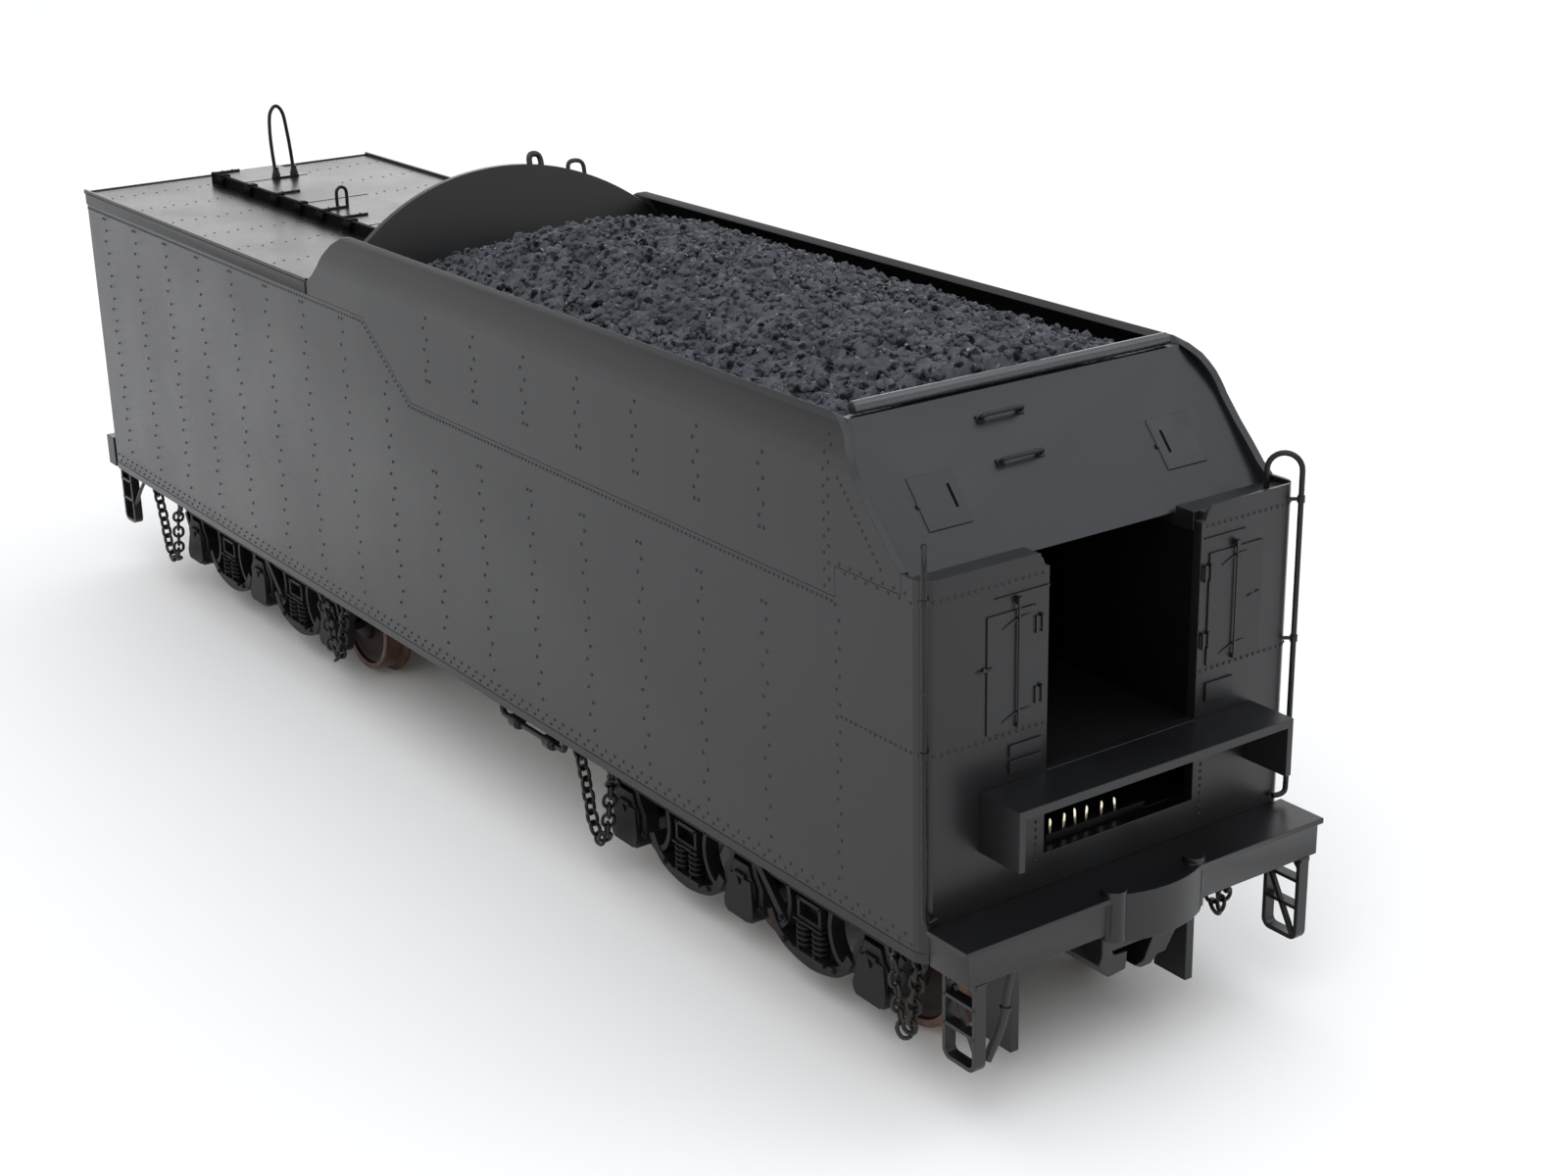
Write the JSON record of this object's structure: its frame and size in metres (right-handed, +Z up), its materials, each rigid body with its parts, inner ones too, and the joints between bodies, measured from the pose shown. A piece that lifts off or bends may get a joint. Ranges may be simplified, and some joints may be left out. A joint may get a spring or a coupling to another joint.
{
  "type": "model railway tender",
  "caption": "Model locomotive tender with a riveted tank, heaped coal behind curved boards, and two swivelling six-wheel trucks with turning wheels.",
  "frame": {"origin": "centre of the footprint, on the rail tops that the wheels stand on", "axes": "+Y towards the coupler end (the cab end faces -Y), +X to the right seen from the cab end's front, +Z up"},
  "size_m": [0.0362, 0.1678, 0.057],
  "materials": {
    "body_paint": "satin black paint",
    "truck_paint": "satin black paint",
    "wire_black": "blackened wire",
    "chain_black": "blackened metal",
    "wheel_metal": "chemically browned, bright at the rims",
    "coal": "rough cast coal, nearly matte",
    "weight_steel": "plain",
    "board_green": "green solder mask",
    "contact_gold": "gold plated"
  },
  "bodies": {
    "tender": {"tank_shell": "body_paint", "recess_liner": "body_paint", "upper_floor": "body_paint", "rear_deck": "body_paint", "coal_board_left": "body_paint", "coal_board_right": "body_paint", "slope_sheet": "body_paint", "slope_sheet_bar": "body_paint", "coal_bulkhead": "body_paint", "cabinet_door_left": "body_paint", "cabinet_door_right": "body_paint", "front_shelf": "body_paint", "front_platform": "body_paint", "water_hatch": "body_paint", "underframe": "body_paint", "rear_beam": "body_paint", "wheel_guard_left": "body_paint", "wheel_guard_right": "body_paint", "step_front_left": "body_paint", "step_front_right": "body_paint", "step_rear_left": "body_paint", "step_rear_right": "body_paint", "drawbar_pocket": "body_paint", "coupler_box": "body_paint", "grab_iron_upper": "wire_black", "grab_iron_lower": "wire_black", "handrail_left": "wire_black", "handrail_right": "wire_black", "hatch_handle": "wire_black", "deck_hairpin": "wire_black", "air_hose": "wire_black", "brake_pipe": "wire_black", "coal_load": "coal", "ballast_weight": "weight_steel", "front_pivot_screw": "weight_steel", "rear_pivot_screw": "weight_steel", "circuit_board": "board_green", "connector_pins": "contact_gold"},
    "front_truck": {"front_truck_bolster": "truck_paint", "front_truck_side_left": "truck_paint", "front_truck_side_right": "truck_paint", "safety_chain_1_left": "chain_black", "safety_chain_1_right": "chain_black", "safety_chain_2_left": "chain_black", "safety_chain_2_right": "chain_black"},
    "rear_truck": {"rear_truck_bolster": "truck_paint", "rear_truck_side_left": "truck_paint", "rear_truck_side_right": "truck_paint", "safety_chain_3_left": "chain_black", "safety_chain_3_right": "chain_black", "safety_chain_4_left": "chain_black", "safety_chain_4_right": "chain_black"},
    "front_axle_1": {"front_wheelset_1": "wheel_metal"},
    "front_axle_2": {"front_wheelset_2": "wheel_metal"},
    "front_axle_3": {"front_wheelset_3": "wheel_metal"},
    "rear_axle_1": {"rear_wheelset_1": "wheel_metal"},
    "rear_axle_2": {"rear_wheelset_2": "wheel_metal"},
    "rear_axle_3": {"rear_wheelset_3": "wheel_metal"},
    "coupler": {"rear_coupler": "wire_black"}
  },
  "joints": [
    {"name": "front_swivel", "type": "hinge", "parent": "tender", "child": "front_truck", "pos_m": [0, -0.04983, 0.0099], "axis": [0, 0, 1], "range_deg": [-7, 7]},
    {"name": "rear_swivel", "type": "hinge", "parent": "tender", "child": "rear_truck", "pos_m": [0, 0.04378, 0.0099], "axis": [0, 0, 1], "range_deg": [-7, 7]},
    {"name": "front_wheels_1", "type": "hinge", "parent": "front_truck", "child": "front_axle_1", "pos_m": [0, -0.06732, 0.0058], "axis": [1, 0, 0], "continuous": true},
    {"name": "front_wheels_2", "type": "hinge", "parent": "front_truck", "child": "front_axle_2", "pos_m": [0, -0.04983, 0.0058], "axis": [1, 0, 0], "continuous": true},
    {"name": "front_wheels_3", "type": "hinge", "parent": "front_truck", "child": "front_axle_3", "pos_m": [0, -0.03232, 0.0058], "axis": [1, 0, 0], "continuous": true},
    {"name": "rear_wheels_1", "type": "hinge", "parent": "rear_truck", "child": "rear_axle_1", "pos_m": [0, 0.02627, 0.0058], "axis": [1, 0, 0], "continuous": true},
    {"name": "rear_wheels_2", "type": "hinge", "parent": "rear_truck", "child": "rear_axle_2", "pos_m": [0, 0.04378, 0.0058], "axis": [1, 0, 0], "continuous": true},
    {"name": "rear_wheels_3", "type": "hinge", "parent": "rear_truck", "child": "rear_axle_3", "pos_m": [0, 0.06128, 0.0058], "axis": [1, 0, 0], "continuous": true},
    {"name": "coupler_swing", "type": "hinge", "parent": "tender", "child": "coupler", "pos_m": [0, 0.07168, 0.0101], "axis": [0, 0, 1], "range_deg": [-15, 15]}
  ]
}
